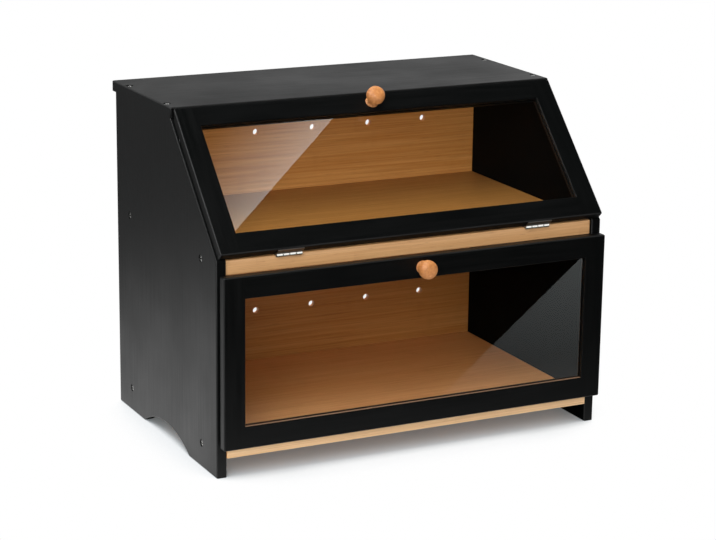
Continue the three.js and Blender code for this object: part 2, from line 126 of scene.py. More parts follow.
# Doors, drawn around their own hinge axis: x across, y to the back, z up the door
DOOR_HALF = 198
DOOR_THICKNESS = 9
DOOR_CORNER = 1.6
LEAST_CORNER = 0.3
FRAME_WIDTH = 21
WINDOW_HALF = DOOR_HALF - FRAME_WIDTH
WINDOW_CORNER = 0.5
PANE_THICKNESS = 2
PANE_GROOVE = 5
PANE_GAP = 0.2
UPPER_GAP = 0.8
UPPER_PAST_SLOPE = 4.4
AXIS_RISE = UPPER_AXIS[1] - SLOPE_START
AXIS_OUT = AXIS_RISE * math.cos(SLOPE_ANGLE) - UPPER_AXIS[0] * math.sin(SLOPE_ANGLE)
AXIS_ALONG = UPPER_AXIS[0] * math.cos(SLOPE_ANGLE) + AXIS_RISE * math.sin(SLOPE_ANGLE)
UPPER_BACK = UPPER_GAP - AXIS_OUT
UPPER_LOW = 0.5
UPPER_HIGH = SLOPE_LENGTH + UPPER_PAST_SLOPE - AXIS_ALONG
LOWER_BACK = 0.5
LOWER_LOW = 1
LOWER_BELOW_SHELF = 12
LOWER_HIGH = SLOPE_START - LOWER_BELOW_SHELF - LOWER_AXIS[1]

# Screws: head radius, head height, shank radius, length and the dome's rise. The case's screws are sunk.
WOOD_SCREW = (3.5, 2.4, 1.8, 28, 1)
LEAF_SCREW = (1.9, 0.9, 1, 7.5, 0.35)
CATCH_SCREW = (2.6, 1.4, 1.3, 16, 0.4)
SUNK = 1.2
SIDE_SCREW_PLACES = [(y, z) for z in (BOARD_BOTTOM + 5, SHELF_BOTTOM + 5) for y in (36, 214)]
TOP_SCREW_PLACES = (SLOPE_TOP + 19.8, 223)

# Magnets and the strike discs that they hold: radius, length and the ease of the edges
SLOPE_MAGNET = (2.5, 6.7, 0.3)
SLOPE_STRIKE = (3, 1, 0.15)
CATCH_MAGNET = (3, 9, 0.3)
CATCH_STRIKE = (6, 1, 0.15)

# Rounded arrises
PAINTED_ARRIS = 1.3
BAMBOO_ARRIS = 0.9
BACK_ARRIS = 0.4
DOOR_BACK_ARRIS = 1.0
WINDOW_FRONT_ARRIS = 0.8
WINDOW_BACK_ARRIS = 0.6
PANE_ARRIS = 0.15
HOUSING_ARRIS = 0.8
ARRIS_STEPS = 3

# Angles between two faces, in radians: an edge that is rounded is sharper than the first, and an edge that
# shades smooth is flatter than the second
SHARP_ABOVE = 0.5
SMOOTH_BELOW = math.radians(38)

# Cutting tools: how far they reach past a face, and the play that they leave
PAST = 2
GROOVE_PLAY = 0.15
HOLE_PLAY = 0.05
ROUND_STEPS = 32
KNOB_STEPS = 48

# How nearly a face's normal points a way, to count as facing it squarely or mostly, and how far from a plane
# a point may be to count as on it
SQUARELY = 0.9
MOSTLY = 0.6
NEAR = 1


# Colours and shader nodes


def linear(code):
    """An sRGB hex colour as the linear colour that a shader takes."""
    parts = [int(code[i : i + 2], 16) / 255 for i in (1, 3, 5)]
    return [p / 12.92 if p <= 0.04045 else ((p + 0.055) / 1.055) ** 2.4 for p in parts] + [1]


def add(tree, kind, sockets=None, out=0, **settings):
    """Adds a node, sets its fields, fills or links its sockets, and gives one of its outputs, or all of them
    for None."""
    node = tree.nodes.new("ShaderNode" + kind)
    for field, value in settings.items():
        setattr(node, field, value)
    for socket, value in (sockets or {}).items():
        if isinstance(value, bpy.types.NodeSocket):
            tree.links.new(value, node.inputs[socket])
        else:
            node.inputs[socket].default_value = value
    return node.outputs if out is None else node.outputs[out]


# A Mix node has its own sockets for each kind of data
SHARE = 0
FIRST = 6
SECOND = 7
COLOURS = {"out": 2, "data_type": "RGBA"}
FIRST_VECTOR = 4
SECOND_VECTOR = 5
VECTORS = {"out": 1, "data_type": "VECTOR"}
WHITE = (1, 1, 1, 1)


def new_finish(name):
    """An empty material and its node tree."""
    finish = bpy.data.materials.new(name)
    finish.use_nodes = True
    finish.node_tree.nodes.clear()
    return finish, finish.node_tree


def per_metre(size):
    """The texture scale that draws a feature at a size in millimetres."""
    return 1 / (size * MM)


# Directions that the grain of a board runs in, as the turn that brings it onto X
ALONG_X = (0, 0, 0)
ALONG_Y = (0, 0, math.pi / 2)
ALONG_Z = (0, math.pi / 2, 0)
# Along X on a board or an edge that stands upright, with its strips one above another
ALONG_X_UPRIGHT = (math.pi / 2, 0, 0)


def grain_vector(tree, turn, stile_edge=None):
    """The point on the wood, in metres, turned so that the grain runs along X. Beyond the stile edge, in
    millimetres from the middle, the grain is upright."""
    place = add(tree, "TexCoord", out="Object")
    turned = add(tree, "Mapping", {"Vector": place, "Rotation": turn})
    if stile_edge is None:
        return turned
    across = add(tree, "SeparateXYZ", {"Vector": place}, out="X")
    from_middle = add(tree, "Math", {0: across}, operation="ABSOLUTE")
    on_stile = add(tree, "Math", {0: from_middle, 1: stile_edge * MM}, operation="GREATER_THAN")
    upright = add(tree, "Mapping", {"Vector": place, "Rotation": ALONG_Z})
    return add(tree, "Mix", {SHARE: on_stile, FIRST_VECTOR: turned, SECOND_VECTOR: upright}, **VECTORS)


def fibres(tree, vector, length, width, detail=3.0):
    """Streaks of a length and a width in millimetres, as values from 0 to 1."""
    scales = (per_metre(length), per_metre(width), per_metre(width))
    drawn = add(tree, "Mapping", {"Vector": vector, "Scale": scales})
    return add(tree, "TexNoise", {"Vector": drawn, "Scale": 1.0, "Detail": detail, "Roughness": 0.55})


def sprayed_black_lacquer(name, turn, stile_edge=None, gloss=0.25):
    """Satin black lacquer sprayed on bamboo board: near black, with the closed grain still showing as fine
    ridges, a slightly uneven sheen, and greyer paint on the arrises, partly paint rubbed thin and partly a
    painted highlight. Faces that were not rubbed down take less gloss."""
    finish, tree = new_finish(name)
    vector = grain_vector(tree, turn, stile_edge)
    # Fibres are 0.3 mm wide; they are drawn 1.6 mm and 0.5 mm wide so that they show in the render
    broad = fibres(tree, vector, 90, 1.6)
    fine = fibres(tree, vector, 30, 0.5)
    place = add(tree, "TexCoord", out="Object")
    # Orange peel is about 1 mm across, drawn 2.38 mm across so that it shows; the sheen varies over 7 cm
    peel = add(tree, "TexNoise", {"Vector": place, "Scale": per_metre(2.38), "Detail": 2.0})
    cloud = add(tree, "TexNoise", {"Vector": place, "Scale": per_metre(71.4), "Detail": 3.0})
    streak = add(tree, "MapRange", {"Value": broad, "From Min": 0.35, "From Max": 0.68})
    body = add(tree, "Mix", {SHARE: streak, FIRST: linear("#030404"), SECOND: linear("#090a0a")}, **COLOURS)
    # Arrises are drawn paler, towards #303030 in patches: partly paint rubbed thin, partly a painted
    # highlight
    arris = add(tree, "Attribute", out="Fac", attribute_name="arris")
    patchy = add(
        tree, "MapRange", {"Value": fine, "From Min": 0.3, "From Max": 0.7, "To Min": 0.15, "To Max": 0.6}
    )
    worn_and_highlit = add(tree, "Math", {0: arris, 1: patchy}, operation="MULTIPLY")
    colour = add(tree, "Mix", {SHARE: worn_and_highlit, FIRST: body, SECOND: linear("#303030")}, **COLOURS)
    uneven = add(tree, "Math", {0: broad, 1: cloud}, operation="ADD")
    roughness = add(
        tree, "MapRange", {"Value": uneven, "From Min": 0.7, "From Max": 1.3, "To Min": 0.38, "To Max": 0.5}
    )
    ridges = add(tree, "Math", {0: broad, 1: fine}, operation="ADD")
    ridged = add(tree, "Bump", {"Height": ridges, "Strength": 0.4, "Distance": 0.08 * MM})
    normal = add(tree, "Bump", {"Height": peel, "Strength": 0.3, "Distance": 0.03 * MM, "Normal": ridged})
    paint = add(
        tree,
        "BsdfPrincipled",
        {"Base Color": colour, "Roughness": roughness, "Normal": normal, "Specular IOR Level": gloss},
    )
    add(tree, "OutputMaterial", {"Surface": paint}, None)
    return finish


def oiled_bamboo(name, turn, pale, tan, brown, strip=20.0):
    """Laminated bamboo, sanded and oiled: pale to tan strips with glue lines, long fine fibres, short dark
    flecks, and a brown line where a cane's joint crosses a strip."""
    finish, tree = new_finish(name)
    vector = grain_vector(tree, turn)
    # Strips run the whole length of a board, so they are drawn 3 m long, with their ends off the bin. Each
    # takes a tone of its own, from black for 0 to white for 1.
    clear_of_ends = add(tree, "Mapping", {"Vector": vector, "Location": (1, 0, 0)})
    strips = add(
        tree,
        "TexBrick",
        {
            "Vector": clear_of_ends,
            "Color1": (0, 0, 0, 1),
            "Color2": WHITE,
            "Mortar": (0.5, 0.5, 0.5, 1),
            "Scale": 1.0,
            "Mortar Size": 0.18 * MM,
            "Mortar Smooth": 0.6,
            "Brick Width": 3.0,
            "Row Height": strip * MM,
        },
        None,
        offset=0.5,
    )
    tone = strips["Color"]
    # Fibre bundles are 0.4 mm wide; the broad ones are drawn 2.2 mm wide so that they show in the render
    broad = fibres(tree, vector, 160, 2.2)
    fine = fibres(tree, vector, 70, 0.7)
    flecks = fibres(tree, vector, 14, 0.8, detail=1.0)
    # A cane has a joint every 240 mm, at its own place in each strip
    along = add(tree, "SeparateXYZ", {"Vector": vector}, out="X")
    shifted = add(tree, "Math", {0: tone, 1: 1.7, 2: along}, operation="MULTIPLY_ADD")
    past_joint = add(tree, "Math", {0: shifted, 1: 240 * MM}, operation="FLOORED_MODULO")
    colour = linear(pale)
    # Each layer of colour: its pattern, where the pattern starts and is full, its strength and its colour
    for pattern, start, full, most, shade in (
        (broad, 0.3, 0.7, 1.0, tan),
        (tone, 0.0, 1.0, 0.3, tan),
        (fine, 0.5, 0.72, 0.4, brown),
        (flecks, 0.66, 0.76, 0.55, brown),
        (past_joint, 10 * MM, 0.0, 0.1, brown),
        (strips["Fac"], 0.0, 1.0, 0.2, brown),
    ):
        share = add(tree, "MapRange", {"Value": pattern, "From Min": start, "From Max": full, "To Max": most})
        colour = add(tree, "Mix", {SHARE: share, FIRST: colour, SECOND: linear(shade)}, **COLOURS)
    roughness = add(
        tree, "MapRange", {"Value": fine, "From Min": 0.3, "From Max": 0.7, "To Min": 0.38, "To Max": 0.54}
    )
    height = add(tree, "Math", {0: fine, 1: 0.6, 2: broad}, operation="MULTIPLY_ADD")
    normal = add(tree, "Bump", {"Height": height, "Strength": 0.35, "Distance": 0.06 * MM})
    wood = add(tree, "BsdfPrincipled", {"Base Color": colour, "Roughness": roughness, "Normal": normal})
    add(tree, "OutputMaterial", {"Surface": wood}, None)
    return finish


def polished_acrylic(name):
    """Clear cast acrylic sheet: bright, barely blue, with faint wiping marks 25 mm wide. Lamps reach what is
    behind it."""
    finish, tree = new_finish(name)
    place = add(tree, "TexCoord", out="Object")
    drawn = add(tree, "Mapping", {"Vector": place, "Scale": (per_metre(25), per_metre(25), per_metre(11.1))})
    wiped = add(tree, "TexNoise", {"Vector": drawn, "Scale": 1.0, "Detail": 4.0})
    roughness = add(tree, "MapRange", {"Value": wiped, "From Min": 0.5, "From Max": 0.8, "To Max": 0.012})
    sheet = add(
        tree,
        "BsdfPrincipled",
        {"Base Color": linear("#fbfdfd"), "Roughness": roughness, "IOR": 1.49, "Transmission Weight": 1.0},
    )
    open_to_lamps = add(tree, "BsdfTransparent", {"Color": linear("#f6f9f9")})
    shadow_ray = add(tree, "LightPath", out="Is Shadow Ray")
    mixed = add(tree, "MixShader", {0: shadow_ray, 1: sheet, 2: open_to_lamps})
    add(tree, "OutputMaterial", {"Surface": mixed}, None)
    return finish


def plated_steel(name, pale, dark, smooth, rough):
    """Steel plated in a barrel: a bright metal with an uneven polish and small pits, 0.4 mm across."""
    finish, tree = new_finish(name)
    place = add(tree, "TexCoord", out="Object")
    rub = add(tree, "TexNoise", {"Vector": place, "Scale": per_metre(0.4), "Detail": 3.0})
    dulled = add(tree, "MapRange", {"Value": rub, "From Min": 0.35, "From Max": 0.7})
    tint = add(tree, "Mix", {SHARE: dulled, FIRST: linear(pale), SECOND: linear(dark)}, **COLOURS)
    roughness = add(
        tree, "MapRange", {"Value": rub, "From Min": 0.3, "From Max": 0.7, "To Min": smooth, "To Max": rough}
    )
    normal = add(tree, "Bump", {"Height": rub, "Strength": 0.25, "Distance": 0.03 * MM})
    metal = add(
        tree,
        "BsdfPrincipled",
        {"Base Color": tint, "Metallic": 1.0, "Roughness": roughness, "Normal": normal},
    )
    add(tree, "OutputMaterial", {"Surface": metal}, None)
    return finish


def moulded_plastic(name):
    """Moulded ABS with a spark-eroded matt: dark grey, soft highlights. The grain is 0.1 mm, drawn 0.4 mm
    wide so that it shows."""
    finish, tree = new_finish(name)
    place = add(tree, "TexCoord", out="Object")
    spark = add(tree, "TexNoise", {"Vector": place, "Scale": per_metre(0.4), "Detail": 2.0})
    colour = add(tree, "Mix", {SHARE: spark, FIRST: linear("#1c1d1e"), SECOND: linear("#292a2b")}, **COLOURS)
    roughness = add(
        tree, "MapRange", {"Value": spark, "From Min": 0.3, "From Max": 0.7, "To Min": 0.5, "To Max": 0.65}
    )
    normal = add(tree, "Bump", {"Height": spark, "Strength": 0.4, "Distance": 0.04 * MM})
    plastic = add(tree, "BsdfPrincipled", {"Base Color": colour, "Roughness": roughness, "Normal": normal})
    add(tree, "OutputMaterial", {"Surface": plastic}, None)
    return finish


# Black lacquer. Inner faces and door ends were sprayed once and not rubbed down, so they hardly shine.
upright_lacquer = sprayed_black_lacquer("black_lacquer_upright_grain", ALONG_Z)
inner_lacquer = sprayed_black_lacquer("flat_black_lacquer_inside", ALONG_Z, gloss=0.02)
level_lacquer = sprayed_black_lacquer("black_lacquer_level_grain", ALONG_X)
door_lacquer = sprayed_black_lacquer("black_lacquer_door_frame", ALONG_X, WINDOW_HALF, gloss=0.21)
door_end_lacquer = sprayed_black_lacquer("flat_black_lacquer_door_end", ALONG_X, gloss=0.06)

# Oiled bamboo. Wide faces show strips of 17 to 20 mm, and edges thin layers of 5 to 7 mm. Each door's window
# sill, black lacquer, is drawn in a dull, darkened bamboo: a painted reflection of the bamboo inside.
# The base board's bamboo is its own colour made paler, in part as painted light
base_bamboo = oiled_bamboo("oiled_bamboo_base", ALONG_X, "#f9b774", "#eb9e5a", "#b3723a")
# The shelf's bamboo is darker and browner, in part as painted shade
shelf_bamboo = oiled_bamboo("oiled_bamboo_shelf", ALONG_X, "#cc9050", "#b57936", "#865222")
edge_bamboo = oiled_bamboo("oiled_bamboo_base_edge", ALONG_X_UPRIGHT, "#f8d2a2", "#eabd8a", "#bd8a58", 5.0)
back_bamboo = oiled_bamboo("oiled_bamboo_back", ALONG_X_UPRIGHT, "#dc9c56", "#c27c38", "#8a5020", 17.0)
rail_bamboo = oiled_bamboo("oiled_bamboo_rails", ALONG_X_UPRIGHT, "#e0b17e", "#d19d67", "#a06c3e", 7.0)
knob_bamboo = oiled_bamboo("turned_bamboo_knobs", ALONG_Y, "#bd8049", "#a76935", "#7f4b22", 5.5)
sill_painted_reflection = oiled_bamboo("window_sill_painted_reflection", ALONG_X, "#96775f", "#866750", "#664b37")

acrylic = polished_acrylic("polished_acrylic_sheet")

# Plated steel. Barrels of the hinges are bright; their plates are rougher, and darker in colour as painted
# shade.
nickel = plated_steel("bright_nickel_plate", "#d2d0cb", "#bfbdb8", 0.16, 0.28)
plate_nickel_painted_shade = plated_steel("nickel_plate_painted_shade", "#6f6d6a", "#5c5a57", 0.3, 0.42)
zinc = plated_steel("zinc_plated_steel", "#a9a9a6", "#8a8a88", 0.2, 0.35)
magnet_plate = plated_steel("magnet_nickel_plate", "#b4b4b2", "#9a9a98", 0.22, 0.35)

plastic = moulded_plastic("moulded_dark_plastic")


# Meshes, drawn in millimetres


def box_mesh(low, high):
    """A box between two corners."""
    bm = bmesh.new()
    bmesh.ops.create_cube(bm, size=1)
    for v in bm.verts:
        v.co = Vector(low[i] + (v.co[i] + 0.5) * (high[i] - low[i]) for i in range(3))
    return bm


def bridge(bm, loops):
    """Faces between each loop of vertices and the next."""
    for loop, after in zip(loops, loops[1:]):
        for i in range(len(loop)):
            j = (i + 1) % len(loop)
            bm.faces.new((loop[i], loop[j], after[j], after[i]))
    bmesh.ops.recalc_face_normals(bm, faces=bm.faces)


def prism(outline, start, end):
    """A flat outline of depth and height points, swept along X."""
    bm = bmesh.new()
    rings = [[bm.verts.new((x, y, z)) for y, z in outline] for x in (start, end)]
    bm.faces.new(rings[0])
    bm.faces.new(rings[1][::-1])
    bridge(bm, rings)
    return bm


def turn_onto(axis):
    """The turn that brings Z onto an axis."""
    return Vector((0, 0, 1)).rotation_difference(Vector(axis)).to_matrix().to_4x4()


def lathe(profile, axis, place, steps=ROUND_STEPS):
    """A profile of radius and height points, turned around an axis that starts at a place. A profile that
    ends where it starts makes a ring."""
    bm = bmesh.new()
    rings = []
    is_ring = profile[0] == profile[-1]
    for radius, height in profile[: -1 if is_ring else None]:
        if radius == 0:
            rings.append([bm.verts.new((0, 0, height))])
            continue
        turns = [2 * math.pi * i / steps for i in range(steps)]
        rings.append([bm.verts.new((radius * math.cos(a), radius * math.sin(a), height)) for a in turns])
    for low, high in zip(rings, rings[1:] + (rings[:1] if is_ring else [])):
        for i in range(steps):
            j = (i + 1) % steps
            corners = [low[i % len(low)], low[j % len(low)], high[j % len(high)], high[i % len(high)]]
            bm.faces.new(list(dict.fromkeys(corners)))
    bmesh.ops.recalc_face_normals(bm, faces=bm.faces)
    bm.transform(Matrix.Translation(place) @ turn_onto(axis))
    return bm


def rod(radius, end):
    """Profile of a plain rod, as long on both sides of its place."""
    return [(0, -end), (radius, -end), (radius, end), (0, end)]


def eased_rod(radius, end, ease):
    """Profile of a rod whose ends are chamfered, as long on both sides of its place."""
    half = [(radius, end - ease), (radius - ease, end), (0, end)]
    return [(r, -height) for r, height in reversed(half)] + half


def round_arrises(bm, radius, wanted=lambda edge: True, steps=ARRIS_STEPS):
    """Rounds the wanted sharp edges over and marks the middle of each as an arris, where the lacquer draws
    paint rubbed thin and a painted highlight.
    """
    layer = bm.verts.layers.float.get("arris") or bm.verts.layers.float.new("arris")
    joined = [e for e in bm.edges if len(e.link_faces) == 2]
    edges = [e for e in joined if e.calc_face_angle() > SHARP_ABOVE and wanted(e)]
    made = bmesh.ops.bevel(
        bm, geom=edges, offset=radius, offset_type="OFFSET", segments=steps, profile=0.5, affect="EDGES"
    )
    rounded = set(made["faces"])
    for face in rounded:
        for v in face.verts:
            if all(f in rounded for f in v.link_faces):
                v[layer] = 1.0
    return bm


def mesh_of(bm, name):
    """The drawn mesh as a stored one."""
    mesh = bpy.data.meshes.new(name)
    bm.to_mesh(mesh)
    bm.free()
    return mesh


def put(name, data):
    """An object in the scene that shows this data."""
    thing = bpy.data.objects.new(name, data)
    bpy.context.scene.collection.objects.link(thing)
    return thing


def combine(bm, tools, operation="DIFFERENCE"):
    """Cuts the tools out of a mesh, or joins them to it, one after another."""
    whole = put("work", mesh_of(bm, "work"))
    helpers = [put("tool", mesh_of(tool, "tool")) for tool in tools]
    for helper in helpers:
        step = whole.modifiers.new("step", "BOOLEAN")
        step.operation = operation
        step.object = helper
        step.solver = "EXACT"
    shown = whole.evaluated_get(bpy.context.evaluated_depsgraph_get())
    result = bmesh.new()
    result.from_mesh(shown.to_mesh())
    shown.to_mesh_clear()
    for thing in [whole, *helpers]:
        mesh = thing.data
        bpy.data.objects.remove(thing)
        bpy.data.meshes.remove(mesh)
    return result


def choose_finish(bm, choice):
    """Gives each face the number of its finish."""
    bm.normal_update()
    for face in bm.faces:
        face.material_index = int(choice(face))
    return bm


# Where a mesh counts from: the side boards' front edges, or the middle of the whole object
IN_CASE = Matrix.Translation((0, MIDDLE_SHIFT * MM, 0))
IN_FRAME = Matrix()


def make_piece(name, bm, finishes, body, nodes, place=IN_CASE):
    """A mesh in millimetres as a finished piece on a body, shown in place of CAD nodes."""
    bm.normal_update()
    for edge in bm.edges:
        edge.smooth = len(edge.link_faces) == 2 and edge.calc_face_angle() < SMOOTH_BELOW
    for face in bm.faces:
        face.smooth = True
    bmesh.ops.scale(bm, vec=(MM, MM, MM), verts=bm.verts)
    mesh = mesh_of(bm, name)
    for finish in finishes:
        mesh.materials.append(finish)
    piece = put(name, mesh)
    piece.matrix_world = place
    even = piece.modifiers.new("flat_faces_stay_flat", "WEIGHTED_NORMAL")
    even.keep_sharp = True
    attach(piece, body)
    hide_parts(*nodes)
    return piece


# Case


def sink(bore, rim, head_height, end, top):
    """Profile of a countersunk hole from its head's rim: the bore, the countersink and the well above it."""
    return [(0, -end), (bore, -end), (bore, -head_height), (rim, 0), (rim, top), (0, top)]


def screw_hole(direction, place):
    """Tool for the hole of a sunk wood screw."""
    head, head_height, shank, length, _ = WOOD_SCREW
    return lathe(sink(shank, head + HOLE_PLAY, head_height, length, SUNK + PAST), direction, place)


def side_screw_sites(side):
    """Direction and place of each screw of a side board."""
    return [((side, 0, 0), (side * (CASE_HALF - SUNK), y, z)) for y, z in SIDE_SCREW_PLACES]


def top_screw_sites(side):
    """Direction and place of each screw that goes down into a side board."""
    top = SIDE_HEIGHT + BOARD_THICKNESS - SUNK
    return [((0, 0, 1), (side * (CASE_HALF - BOARD_THICKNESS / 2), y, top)) for y in TOP_SCREW_PLACES]


def side_board(hand):
    """Side board with a sloping front above the shelf and an arch between two feet."""
    side = HANDS[hand]
    radius = (ARCH_SPAN**2 / 4 + ARCH_RISE**2) / (2 * ARCH_RISE)
    sweep = math.asin(ARCH_SPAN / 2 / radius)
    middle = SIDE_DEPTH / 2
    arch = [
        (middle + radius * math.sin(a), ARCH_RISE - radius + radius * math.cos(a))
        for a in (-sweep + 2 * sweep * i / ARCH_STEPS for i in range(ARCH_STEPS + 1))
    ]
    back_edge = [(SIDE_DEPTH, 0), (SIDE_DEPTH, SIDE_HEIGHT)]
    outline = [(0, 0), *arch, *back_edge, (SLOPE_TOP, SIDE_HEIGHT), (0, SLOPE_START)]

    def on_outline_below_top(edge):
        ends = [v.co for v in edge.verts]
        return abs(ends[0].x - ends[1].x) < NEAR and min(end.z for end in ends) < SIDE_HEIGHT - NEAR

    board = prism(outline, side * INNER_HALF, side * CASE_HALF)
    board = round_arrises(board, PAINTED_ARRIS, on_outline_below_top)
    inner, outer = sorted((side * (INNER_HALF - PAST), side * (BACK_HALF + GROOVE_PLAY)))
    groove = box_mesh(
        (inner, BACK_FRONT - GROOVE_PLAY, BOARD_TOP), (outer, BACK_REAR + GROOVE_PLAY, SIDE_HEIGHT + PAST)
    )
    holes = [screw_hole(*site) for site in side_screw_sites(side)]
    board = choose_finish(combine(board, [groove, *holes]), lambda face: face.normal.x * side < -SQUARELY)
    finishes = [upright_lacquer, inner_lacquer]
    make_piece(f"side_board_{hand}", board, finishes, "cabinet", [f"side_panel_{hand}"])


def top_board():
    """Top board, with its lower edges left square where it meets the sides."""
    top = SIDE_HEIGHT + BOARD_THICKNESS
    board = box_mesh((-CASE_HALF, TOP_FRONT, SIDE_HEIGHT), (CASE_HALF, TOP_BACK, top))
    rounded = round_arrises(board, PAINTED_ARRIS, lambda e: max(v.co.z for v in e.verts) > SIDE_HEIGHT + NEAR)
    holes = [screw_hole(*site) for side in HANDS.values() for site in top_screw_sites(side)]
    make_piece("top_board", combine(rounded, holes), [level_lacquer], "cabinet", ["top_panel"])


def back_board():
    """Thin back with a row of five air holes for each compartment."""
    board = box_mesh((-BACK_HALF, BACK_FRONT, BOARD_TOP), (BACK_HALF, BACK_REAR, SIDE_HEIGHT))
    middle = BACK_REAR - BACK_THICKNESS / 2
    vents = [
        lathe(rod(VENT_RADIUS, 2 * PAST), (0, 1, 0), (VENT_SHIFT + i * VENT_PITCH, middle, height))
        for height in VENT_HEIGHTS
        for i in range(-2, 3)
    ]
    board = combine(round_arrises(board, BACK_ARRIS, steps=2), vents)
    make_piece("back_board", board, [back_bamboo], "cabinet", ["back_panel"])


def bamboo_board(name, depths, heights, finishes, node):
    """A board between the sides; a second finish goes on its front and back edges."""
    board = box_mesh((-INNER_HALF, depths[0], heights[0]), (INNER_HALF, depths[1], heights[1]))
    board = choose_finish(
        round_arrises(board, BAMBOO_ARRIS), lambda face: len(finishes) > 1 and abs(face.normal.y) > MOSTLY
    )
    make_piece(name, board, finishes, "cabinet", [node])


for hand in HANDS:
    side_board(hand)
top_board()
back_board()
bamboo_board(
    "base_board",
    (BOARD_FRONT, SIDE_DEPTH),
    (BOARD_BOTTOM, BOARD_TOP),
    [base_bamboo, edge_bamboo],
    "bottom_board",
)
bamboo_board(
    "shelf_board",
    (RAIL_FRONT + RAIL_DEPTH, BACK_FRONT),
    (SHELF_BOTTOM, SLOPE_START),
    [shelf_bamboo],
    "middle_shelf",
)
bamboo_board(
    "shelf_rail",
    (RAIL_FRONT, RAIL_FRONT + RAIL_DEPTH),
    (SLOPE_START - SHELF_RAIL_HEIGHT, SLOPE_START),
    [rail_bamboo],
    "shelf_front_rail",
)
bamboo_board(
    "top_rail",
    (TOP_RAIL_FRONT, TOP_RAIL_FRONT + RAIL_DEPTH),
    (SIDE_HEIGHT - TOP_RAIL_HEIGHT, SIDE_HEIGHT),
    [rail_bamboo],
    "top_front_rail",
)


# Doors


def ring_points(half, low, high, corner, y, steps=4):
    """A rectangle with rounded corners, across the door."""
    points = []
    for turn, (sx, sz) in enumerate(((1, 1), (-1, 1), (-1, -1), (1, -1))):
        centre = (sx * (half - corner), (high - corner) if sz > 0 else (low + corner))
        for i in range(steps + 1):
            angle = math.pi / 2 * (turn + i / steps)
            points.append((centre[0] + corner * math.cos(angle), y, centre[1] + corner * math.sin(angle)))
    return points


def rounded_edge(edge, radius, on_front, worn_and_highlit=True, steps=4):
    """Points of a quarter round in the frame's section, from its face to its edge. Each has the edge that it
    is measured from, its inset, its depth from the back face, and whether the paint there is drawn paler, as
    paint rubbed thin and a painted highlight."""
    points = []
    for i in range(steps + 1):
        angle = math.pi / 2 * i / steps
        inset = radius * (1 - math.sin(angle))
        rise = radius * (1 - math.cos(angle))
        points.append((edge, inset, DOOR_THICKNESS - rise if on_front else rise, worn_and_highlit and 0 < inset < radius))
    return points


def door_frame(back, low, high, lean):
    """A door's frame around its window, as one closed band of the frame's own section: rounded outside,
    a softer round at the window, and the pane's groove half way through."""
    wall = (DOOR_THICKNESS - PANE_THICKNESS) / 2 - PANE_GAP
    section = [
        *rounded_edge("out", DOOR_BACK_ARRIS, False),
        *reversed(rounded_edge("out", PAINTED_ARRIS, True)),
        *rounded_edge("in", WINDOW_FRONT_ARRIS, True, worn_and_highlit=False),
        ("in", 0, DOOR_THICKNESS - wall, False),
        ("in", PANE_GROOVE, DOOR_THICKNESS - wall, False),
        ("in", PANE_GROOVE, wall, False),
        ("in", 0, wall, False),
        *reversed(rounded_edge("in", WINDOW_BACK_ARRIS, False)),
    ]
    bm = bmesh.new()
    layer = bm.verts.layers.float.new("arris")
    loops = []
    # The arris layer marks the paler paint: paint rubbed thin and a painted highlight
    for edge, inset, depth, worn_and_highlit in section:
        drop = math.tan(SLOPE_ANGLE) * (DOOR_THICKNESS - depth) if lean else 0
        if edge == "out":
            corner = max(DOOR_CORNER - inset, LEAST_CORNER)
            shape = (DOOR_HALF - inset, low + inset, high - drop - inset, corner)
        else:
            reach = FRAME_WIDTH - inset
            shape = (WINDOW_HALF + inset, low + reach, high - reach, WINDOW_CORNER)
        loop = [bm.verts.new(p) for p in ring_points(*shape, -back - depth)]
        for v in loop:
            v[layer] = float(worn_and_highlit)
        loops.append(loop)
    bridge(bm, [*loops, loops[0]])
    return bm


def door_pane(back, low, high):
    """A pane that reaches into the frame's groove on all sides."""
    half = WINDOW_HALF + PANE_GROOVE - PANE_GAP
    middle = -back - DOOR_THICKNESS / 2
    edge = FRAME_WIDTH - PANE_GROOVE + PANE_GAP
    pane = box_mesh(
        (-half, middle - PANE_THICKNESS / 2, low + edge), (half, middle + PANE_THICKNESS / 2, high - edge)
    )
    return round_arrises(pane, PANE_ARRIS, steps=2)


def curve(points, steps=8):
    """Points along one quadratic curve after its first point."""
    first, middle, last = points
    return [
        tuple((1 - t) ** 2 * first[k] + 2 * t * (1 - t) * middle[k] + t * t * last[k] for k in (0, 1))
        for t in (i / steps for i in range(1, steps + 1))
    ]


def knob_profile():
    """Mushroom knob, as radius and height: a glued tenon, a flared base, a waist, and a domed cap with a soft
    lip. Each curve has a middle point and an end."""
    outline = [(0, -5.5), (2.5, -5.5), (2.5, 0), (6.2, 0)]
    for middle, end in (
        ((4.9, 1.625), (4.9, 3.25)),
        ((4.9, 6.5), (7.2, 7.3)),
        ((8.85, 7.3), (8.85, 11.1)),
        ((8.85, 16.2), (5, 17.5)),
        ((2.5, 18), (0, 18)),
    ):
        outline += curve((outline[-1], middle, end))
    return [(r if r > 1e-6 else 0, z) for r, z in outline]


